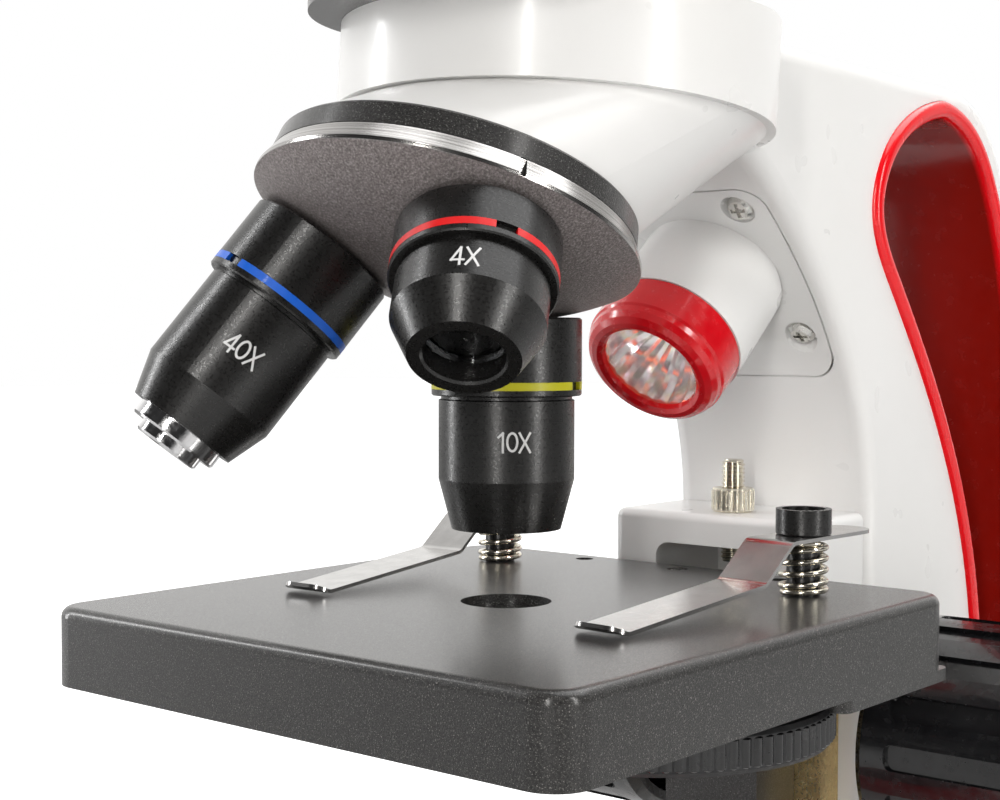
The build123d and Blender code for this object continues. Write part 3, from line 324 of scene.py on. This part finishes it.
def metal(name, color, rough, scratch=(1, 1, 1), size=0.8, depth=0.012, spread=0.08):
    """Plated or brushed metal; scratch stretches the pattern into streaks."""
    f = Finish(name, color, rough, 1.0)
    streaks = f.grain(size, 5.0, vector=f.stretched(scratch))
    f.color(f.ramp(f.grain(3.0, 3.0), (0.3, tuple(c * 0.86 for c in color)), (0.7, color)))
    f.rough(streaks, max(0.03, rough - spread), rough + spread)
    return f.bump(streaks, depth).mat


def anodised(name, axis):
    """Satin black with fine turning marks round the objective's own axis."""
    f = Finish(name, (0.006, 0.0055, 0.005), 0.3, specular_ior_level=0.6)
    marks = f.lines(MEET, axis, 0.16)
    f.color(f.ramp(marks, (0.35, (0.0045, 0.0042, 0.004)), (0.7, (0.011, 0.0105, 0.010))))
    f.rough(f.grain(0.35, 3.0), 0.24, 0.36)
    return f.bump(marks, 0.007).bump(f.grain(0.3, 3.0), 0.008).mat


def glass(name, tint=(0.97, 0.98, 1.0)):
    f = Finish(name, tint, 0.02, ior=1.5, transmission_weight=1.0, coat_weight=0.3)
    f.rough(f.grain(6, 3.0), 0.0, 0.03)
    return f.bump(f.grain(9, 2.0), 0.004).mat


def turret_finish():
    """Sand-textured dome with a polished rim above it."""
    f = Finish("turret_lacquer", (0.1, 0.1, 0.1), 0.4, specular_ior_level=0.6)
    rim_edge = 33.75 * MM
    rim = f.math("LESS_THAN", f.along(MEET, NOSE), rim_edge)
    grains = f.grain(0.3, 4.0, rough=0.7)
    dome = f.ramp(grains, (0.34, (0.13, 0.115, 0.112)), (0.56, (0.30, 0.265, 0.26)),
                  (0.76, (0.62, 0.57, 0.56)))
    streaks = f.lines(MEET, NOSE, 0.3)
    bright = f.ramp(streaks, (0.3, (0.30, 0.29, 0.28)), (0.7, (0.55, 0.54, 0.53)))
    f.color(f.mix(rim, dome, bright))
    f.feed(f.shader.inputs["Metallic"], f.math("MAXIMUM", rim, 0.6))
    sandy = f.math("MULTIPLY", grains, f.math("SUBTRACT", 1.0, rim))
    f.feed(f.shader.inputs["Roughness"], f.math("SUBTRACT", 0.42, f.math("MULTIPLY", rim, 0.22)))
    return f.bump(sandy, 0.12).bump(f.math("MULTIPLY", streaks, rim), 0.02).mat


def reflector_finish():
    """Metallised flutes in silver, with painted coloured reflections: patches of the base colour tinted
    rose and straw.
    """
    f = Finish("reflector_mirror", (0.92, 0.92, 0.93), 0.12, 1.0)
    painted_reflection_patches = f.grain(3.0, 0.0)
    silver, reflected_rose, reflected_straw = (0.94, 0.94, 0.95), (0.93, 0.78, 0.86), (0.93, 0.91, 0.74)
    # painted reflection: rose and straw tints in the base colour stand for coloured things reflected in
    # the mirror
    f.color(f.ramp(painted_reflection_patches, (0.36, silver), (0.43, reflected_rose), (0.47, silver), (0.60, reflected_straw), (0.66, silver)))
    return f.rough(f.grain(2, 2.0), 0.1, 0.18).mat


def lamp_window():
    """Thin clear window that lets most of the light straight through."""
    f = Finish("lamp_window", (1, 1, 1), 0.03, alpha=0.10, coat_weight=0.4)
    return f.bump(f.grain(9, 1.0), 0.003).mat


def glow(name, color, strength):
    f = Finish(name, color, 0.4)
    f.shader.inputs["Emission Color"].default_value = (*color, 1)
    f.shader.inputs["Emission Strength"].default_value = strength
    return f.bump(f.grain(0.6, 2.0), 0.02).mat


WHITE = white_paint()
STAGE_COAT = sand_coat("stage_powder_coat", (0.004, 0.0038, 0.0035), (0.20, 0.19, 0.18), 0.26, 0.07)
DARK_COAT = sand_coat("black_powder_coat", (0.009, 0.0085, 0.008), (0.15, 0.145, 0.14), 0.34, 0.10)
TURRET = turret_finish()
RED = gloss("red_gloss_moulding", (0.80, 0.004, 0.012), 0.2)
RED_DEEP = liner_red()
BLACK_GLOSS = gloss("black_gloss_moulding", (0.008, 0.008, 0.009), 0.2, 0.03)
BLACK_MATT = moulding("black_matt_moulding", (0.012, 0.012, 0.013))
RUBBER = moulding("rubber_black", (0.015, 0.015, 0.015), 0.72)
ZINC = metal("zinc_plate", (0.74, 0.73, 0.70), 0.24, size=1.2)
NICKEL = metal("nickel_plate", (0.80, 0.75, 0.64), 0.2, size=0.9)
STEEL = metal("turned_steel", (0.62, 0.62, 0.62), 0.3)
STAINLESS = metal("brushed_stainless", (0.60, 0.59, 0.58), 0.2, scratch=(8, 0.12, 8), size=0.6,
                  depth=0.003, spread=0.03)
CHROME = metal("polished_chrome", (0.86, 0.86, 0.87), 0.12)
BRASS = metal("machined_brass", (0.72, 0.55, 0.27), 0.28)
BLACK_4X = anodised("anodised_4x", AXIS_4X)
BLACK_10X = anodised("anodised_10x", AXIS_10X)
BLACK_40X = anodised("anodised_40x", AXIS_40X)
TUBE_AXIS = joint_axis("eyepiece_slide")
BLACK_TUBE = anodised("anodised_eyepiece", TUBE_AXIS)
GLASS = glass("optical_glass")
LAMP_WINDOW = lamp_window()
# painted glow: the lamp cap's plastic bead is no lamp, but gets a faint red emission
PAINTED_GLOW_RIM = glow("painted_glow_rim", (1.0, 0.16, 0.03), 0.7)
REFLECTOR = reflector_finish()
LED = glow("led_glow", (1.0, 0.985, 0.95), 9.0)
BOARD = moulding("circuit_board", (0.02, 0.12, 0.05), 0.4)
JACKET = gloss("cell_sleeve", (0.05, 0.05, 0.055), 0.3)
RED_BAND = gloss("red_band", (0.80, 0.003, 0.004), 0.4, coat=0.1)
YELLOW_BAND = gloss("yellow_band", (0.62, 0.58, 0.004), 0.4, coat=0.1)
BLUE_BAND = gloss("blue_band", (0.008, 0.16, 0.86), 0.4, coat=0.1)
MARKING = gloss("white_marking", (0.85, 0.85, 0.85), 0.4)

FINISHES = {
    "base_shell": WHITE, "arm": WHITE, "front_cover": WHITE, "stop_bracket": WHITE, "head_shell": WHITE,
    "eyepiece_tube": WHITE, "base_plate": BLACK_MATT, "battery_door": BLACK_MATT, "base_screws": ZINC,
    "rubber_feet": RUBBER, "battery_cells": JACKET, "power_inlet": BLACK_MATT, "switch_frame": BLACK_MATT,
    "switch_rocker": RED, "brightness_dial": BLACK_GLOSS, "light_boards": BOARD, "light_collar": RED,
    "base_field_lens": GLASS, "handle_liner": RED_DEEP, "cover_screws": ZINC, "lamp_cap": RED,
    "lamp_lens": LAMP_WINDOW, "lamp_reflector": REFLECTOR, "lamp_led": LED,
    "stop_screw": STEEL, "stop_nut": NICKEL,
    "slide_rails": BRASS, "shaft_bushes": BRASS, "focus_shaft": STEEL, "focus_pinion": BRASS,
    "focus_rack": BRASS, "focus_knobs": BLACK_GLOSS, "stage_plate": STAGE_COAT, "stage_carrier": DARK_COAT,
    "condenser_lens": GLASS, "diaphragm_disc": BLACK_MATT, "stage_screws": ZINC, "clip_posts": BLACK_10X,
    "clip_springs": NICKEL, "clip_right": STAINLESS, "clip_left": STAINLESS, "nosepiece_plate": DARK_COAT,
    "turret_pivot": STEEL, "turret_dome": TURRET, "objective_4x": BLACK_4X, "objective_10x": BLACK_10X,
    "objective_40x": BLACK_40X, "red_band_4x": RED_BAND, "yellow_band_10x": YELLOW_BAND,
    "blue_band_40x": BLUE_BAND, "front_lenses": GLASS, "front_lens_40x": GLASS, "nose_40x": CHROME,
    "head_seat": DARK_COAT, "head_lock_screw": ZINC, "head_prism": GLASS, "tube_ring": RED,
    "eyepiece_barrel": BLACK_TUBE, "eyepiece_lenses": GLASS, "eyecup": RUBBER,
}
for name, obj in frame["nodes"].items():
    obj.data.materials.clear()
    obj.data.materials.append(FINISHES[name])


# ---- detail pieces ------------------------------------------------------------------
def dress(obj, mat):
    obj.data.materials.append(mat)
    return obj


def arc_points(cx, cy, rx, ry, start_deg, end_deg, count=20):
    angles = [math.radians(start_deg + (end_deg - start_deg) * k / count) for k in range(count + 1)]
    return [(cx + rx * math.cos(a), cy + ry * math.sin(a)) for a in angles]


# each character: its width and its strokes, for a height of 1
GLYPHS = {
    "0": (0.62, [arc_points(0.31, 0.5, 0.25, 0.44, 90, 450, 32)]),
    "1": (0.44, [[(0.06, 0.74), (0.28, 0.94), (0.28, 0.0)]]),
    "2": (0.60, [arc_points(0.29, 0.70, 0.23, 0.24, 160, -38, 14) + [(0.06, 0.06), (0.54, 0.06)]]),
    "3": (0.60, [arc_points(0.28, 0.72, 0.22, 0.22, 150, -90, 14),
                 arc_points(0.28, 0.28, 0.24, 0.22, 90, -150, 14)]),
    "4": (0.66, [[(0.60, 0.26), (0.06, 0.26), (0.44, 0.94), (0.44, 0.0)]]),
    "5": (0.60, [[(0.50, 0.94), (0.14, 0.94), (0.10, 0.54)]
                 + arc_points(0.28, 0.32, 0.24, 0.26, 120, -150, 14)]),
    "6": (0.60, [[(0.46, 0.94), (0.10, 0.44)] + arc_points(0.30, 0.29, 0.23, 0.23, 150, 510, 24)]),
    "X": (0.66, [[(0.06, 0.94), (0.60, 0.0)], [(0.60, 0.94), (0.06, 0.0)]]),
}
STROKE = 0.115


def letter_mesh(text, height_mm, slices_mm=None):
    """Lettering centred on the origin, as flat strokes, in metres."""
    bm = bmesh.new()
    total = sum(GLYPHS[c][0] for c in text)
    pen = -total / 2
    scale = height_mm * MM
    for letter in text:
        width, strokes = GLYPHS[letter]
        for stroke in strokes:
            spots = [Vector((x + pen, y - 0.5, 0)) for x, y in stroke]
            for a, b in zip(spots, spots[1:]):
                run = (b - a).normalized() * (STROKE / 2)
                side = Vector((-run.y, run.x, 0))
                steps = max(1, int((b - a).length * height_mm / (slices_mm or 9)))
                ends = [a - run + (b - a + 2 * run) * k / steps for k in range(steps + 1)]
                for p, q in zip(ends, ends[1:]):
                    corners = (p - side, q - side, q + side, p + side)
                    bm.faces.new([bm.verts.new(v * scale) for v in corners])
        pen += width
    return bm


def barrel_marking(name, text, axis, angle_deg, distance_mm, radius_mm, height_mm, body):
    """Printed lettering wrapped round a barrel, reading square to its axis."""
    bm = letter_mesh(text, height_mm, 0.3)
    ref = axis.cross(NOSE).normalized()
    side = axis.cross(ref)
    radius = radius_mm * MM
    for v in bm.verts:
        a = math.radians(angle_deg) - v.co.x / radius
        outward = ref * math.cos(a) + side * math.sin(a)
        v.co = MEET + axis * (distance_mm * MM - v.co.y) + outward * radius
    return dress(finish_mesh(name, bm, body), MARKING)


PRINT_RADIUS, PRINT_HEIGHT = 9.69, 2.75
for power, axis, angle_deg, distance in (("4X", AXIS_4X, 118.4, 53.45), ("10X", AXIS_10X, -136.2, 59.8),
                                         ("40X", AXIS_40X, -24.5, 61.25)):
    barrel_marking(f"marking_{power.lower()}", power, axis, angle_deg, distance, PRINT_RADIUS,
                   PRINT_HEIGHT, "turret")


def stop_screw_thread():
    """Threaded adjusting screw, narrowed at both ends."""
    low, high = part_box("stop_screw")
    centre = (low + high) / 2
    pitch, depth, radius = 0.7 * MM, 0.32 * MM, (high.x - low.x) / 2
    sides, turns = 40, (high.z - low.z) / pitch
    rows = []
    steps = int(turns * 10)
    for k in range(steps + 1):
        z = low.z + (high.z - low.z) * k / steps
        edge = min(1.0, (high.z - z) / (0.5 * MM), (z - low.z) / (0.5 * MM))
        row = []
        for i in range(sides):
            a = 2 * math.pi * i / sides
            phase = ((z - low.z) / pitch - i / sides) % 1.0
            tooth = min(1.0, max(0.0, 1.6 * abs(2 * phase - 1) - 0.3))
            r = (radius - depth * tooth) * (0.82 + 0.18 * edge)
            row.append(Vector((centre.x + r * math.cos(a), centre.y + r * math.sin(a), z)))
        rows.append(row)
    obj = grid_mesh("stop_screw_thread", rows, "travel_stop", cap_ends=True, sharp_deg=50)
    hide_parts("stop_screw")
    return dress(obj, NICKEL)


stop_screw_thread()


def clip_springs():
    """Two compression springs with closed ends and a cut wire tip."""
    wire, coil_r = 0.44 * MM, 3.28 * MM
    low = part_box("clip_springs")[0]
    made = []
    for sign in (-1, 1):
        post = joint_spot("right_clip_swivel" if sign > 0 else "left_clip_swivel")
        base, top = low.z + wire, STAGE_TOP + 8.25 * MM - wire
        points, turns, per_turn = [], 5.3, 40
        total = int(turns * per_turn)
        dead = 1.05
        for k in range(total + 1):
            t = k / per_turn
            live = min(max(t - dead, 0), turns - 2 * dead)
            ends = min(t, dead) + max(0.0, t - (turns - dead))
            closed_pitch = 2.02 * wire
            open_rise = top - base - 2 * dead * closed_pitch
            rise = ends * closed_pitch + live / (turns - 2 * dead) * open_rise
            a = 2 * math.pi * t - 2.2
            around = Vector((coil_r * math.cos(a), coil_r * math.sin(a), 0))
            points.append(Vector((post.x, post.y, base + rise)) + around)
        name = "clip_spring_right" if sign > 0 else "clip_spring_left"
        made.append(tube(name, points, wire, "stage", sides=12, sharp_deg=60))
    for obj in made:
        dress(obj, NICKEL)
    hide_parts("clip_springs")
    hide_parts("clip_springs")


clip_springs()


def lamp_reflector():
    """Metallised cone pressed into narrow flutes."""
    flutes, rings = 22, 14
    mouth, throat, start, depth = 8.3, 2.1, 2.3, 10.5
    u, v = frame_about(LAMP_BACK, UP)
    turns = [2 * math.pi * i / (flutes * 4) for i in range(flutes * 4)]

    def spot(distance_mm, a, radius_mm):
        outward = u * math.cos(a) + v * math.sin(a)
        return LAMP_RIM + LAMP_BACK * (distance_mm * MM) + outward * (radius_mm * MM)

    rows = []
    for k in range(rings + 1):
        t = k / rings
        r = mouth * (1 - t) + throat * t + 1.9 * math.sin(math.pi * t)
        scoops = [0.05 * r * (0.5 - 0.5 * math.cos(flutes * a)) for a in turns]
        rows.append([spot(start + depth * t, a, r + scoop) for a, scoop in zip(turns, scoops)])
    lip = [spot(start, a, 9.7) for a in turns]
    obj = grid_mesh("fluted_reflector", [lip] + rows, "stand", sharp_deg=20)
    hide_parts("lamp_reflector")
    return dress(obj, REFLECTOR)


lamp_reflector()


def painted_glow_bead():
    """Inner bead of the lamp cap, given a painted glow: a faint red emission as if the lamp lit it from
    behind.
    """
    ring, bead, depth = 8.75, 0.42, 1.35
    turns = [2 * math.pi * k / 12 for k in range(13)]
    profile = [(ring + bead * math.cos(a), depth + bead * math.sin(a)) for a in turns]
    return dress(turned("lamp_bead", LAMP_RIM, LAMP_BACK, UP, profile, "stand"), PAINTED_GLOW_RIM)


painted_glow_bead()


def aperture_disc_details():
    """Thumb ribs round the aperture disc, and its position numbers."""
    spot = joint_spot("diaphragm_turn")
    low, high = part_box("diaphragm_disc")
    radius = (high.x - low.x) / 2 / MM
    lift = (low.z - spot.z) / MM
    thick = (high.z - low.z) / MM
    inner, outer = radius - 0.3, radius + 0.35
    profile = [(inner, lift + 0.5), (outer, lift + 0.9), (outer, lift + thick - 0.9),
               (inner, lift + thick - 0.5)]
    ribs = turned("aperture_disc_ribs", spot, UP, Vector((1, 0, 0)), profile, "diaphragm",
                  segments=720, ribs=90, rib_depth=0.4, ribbed=(1, 2))
    dress(ribs, BLACK_GLOSS)
    toward_axis = math.atan2(OPTICAL_Y - spot.y, -spot.x)
    for k in range(6):
        bm = letter_mesh(str(k + 1), 2.6)
        a = toward_axis + (k + 0.5) * math.pi / 3
        out = Vector((math.cos(a), math.sin(a), 0))
        across = Vector((math.sin(a), -math.cos(a), 0))
        face_centre = Vector((spot.x, spot.y, high.z + 0.03 * MM))
        for v in bm.verts:
            v.co = face_centre + out * (22.6 * MM - v.co.y) - across * v.co.x
        dress(finish_mesh(f"aperture_number_{k + 1}", bm, "diaphragm"), MARKING)


aperture_disc_details()


def lock_screw():
    """Head lock: turned screw with a straight-knurled grip."""
    low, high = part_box("head_lock_screw")
    centre = joint_spot("head_lock_turn")
    grip = (high.z - low.z) / 2 / MM
    length = (high.x - low.x) / MM
    start = Vector((low.x, centre.y, centre.z))
    shank = [(0.01, 0), (1.6, 0), (2.0, 0.4), (2.0, 7.0)]
    head = [(grip - 0.5, 7.0), (grip, 7.6), (grip, length - 1.2), (grip - 0.6, length - 0.5),
            (grip - 1.4, length), (0.01, length - 0.3)]
    obj = turned("head_lock_knurled", start, Vector((1, 0, 0)), UP, shank + head, "lock_screw",
                 segments=288, ribs=36, rib_depth=0.28, ribbed=(5, 6), closed=False)
    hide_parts("head_lock_screw")
    return dress(obj, ZINC)


lock_screw()


# ---- camera at the photograph's angle -----------------------------------------------
def place_camera():
    azimuth, pitch, roll = math.radians(39.924), math.radians(-2.125), math.radians(0.126)
    spot = Vector((151.141, 1000 * OPTICAL_Y - 182.063, 1000 * STAGE_TOP + 37.5)) * MM
    level = math.cos(pitch)
    ahead = Vector((-math.sin(azimuth) * level, math.cos(azimuth) * level, math.sin(pitch)))
    right = Vector((math.cos(azimuth), math.sin(azimuth), 0))
    above = right.cross(ahead)
    turn = Matrix((right, above, -ahead)).transposed() @ Matrix.Rotation(roll, 3, "Z")
    data = bpy.data.cameras.new("camera")
    data.sensor_width = 36.0
    data.lens = 59.92
    data.clip_start = 0.01
    camera = bpy.data.objects.new("camera", data)
    camera.matrix_world = Matrix.Translation(spot) @ turn.to_4x4()
    bpy.context.scene.collection.objects.link(camera)
    bpy.context.scene.camera = camera


place_camera()


# ---- studio -------------------------------------------------------------------------
BACKDROP_SIDE = (-0.63, 0.75, 0.2)


def area_light(name, spot, aim, width, height, watts, color=(1, 1, 1)):
    data = bpy.data.lights.new(name, "AREA")
    data.shape = "RECTANGLE"
    data.size, data.size_y = width, height
    data.energy = watts
    data.color = color
    lamp = bpy.data.objects.new(name, data)
    turn = (Vector(aim) - Vector(spot)).to_track_quat("-Z", "Y")
    lamp.matrix_world = Matrix.Translation(spot) @ turn.to_matrix().to_4x4()
    bpy.context.scene.collection.objects.link(lamp)


def studio():
    """White backdrop and floor; the side of the room behind the camera is darker."""
    bm = bmesh.new()
    bmesh.ops.create_grid(bm, x_segments=2, y_segments=2, size=4.0)
    floor = finish_mesh("floor", bm, None, smooth=False)
    f = Finish("pale_floor", (0.5, 0.5, 0.5), 0.8)
    f.color(f.ramp(f.grain(300, 2.0), (0.3, (0.48, 0.48, 0.48)), (0.7, (0.52, 0.52, 0.52))))
    f.shader.inputs["Emission Color"].default_value = (1, 1, 1, 1)
    f.feed(f.shader.inputs["Emission Strength"], f.node("ShaderNodeLightPath").outputs["Is Camera Ray"])
    floor.data.materials.append(f.mat)
    world = bpy.data.worlds.new("studio")
    world.use_nodes = True
    nodes, links = world.node_tree.nodes, world.node_tree.links
    sky = nodes["Background"]
    place = nodes.new("ShaderNodeTexCoord")
    facing = nodes.new("ShaderNodeVectorMath")
    facing.operation = "DOT_PRODUCT"
    facing.inputs[1].default_value = BACKDROP_SIDE
    shade = nodes.new("ShaderNodeValToRGB")
    dark_side, lit_side = shade.color_ramp.elements
    dark_side.position, dark_side.color = 0.1, (0.03, 0.03, 0.03, 1)
    lit_side.position, lit_side.color = 0.8, (1.12, 1.11, 1.09, 1)
    seen = nodes.new("ShaderNodeLightPath")
    pick = nodes.new("ShaderNodeMix")
    pick.data_type = "RGBA"
    pick.inputs["B"].default_value = (1, 1, 1, 1)
    links.new(place.outputs["Generated"], facing.inputs[0])
    links.new(facing.outputs["Value"], shade.inputs["Fac"])
    links.new(shade.outputs["Color"], pick.inputs["A"])
    links.new(seen.outputs["Is Camera Ray"], pick.inputs["Factor"])
    links.new(pick.outputs["Result"], sky.inputs["Color"])
    bpy.context.scene.world = world
    aim = (0, OPTICAL_Y, STAGE_TOP)
    area_light("top", (0.15, 0.45, 1.3), aim, 1.3, 1.3, 14.5)
    area_light("left_strip", (-1.0, -0.5, 0.5), aim, 0.12, 1.1, 7.5)
    area_light("right_strip", (1.1, 0.0, 0.5), aim, 0.12, 1.1, 7, (1.0, 0.985, 0.96))
    area_light("front_strip", (0.36, -0.88, 0.42), aim, 0.05, 0.8, 4.2, (1.0, 0.98, 0.95))


studio()
bpy.context.scene.view_settings.view_transform = "Standard"
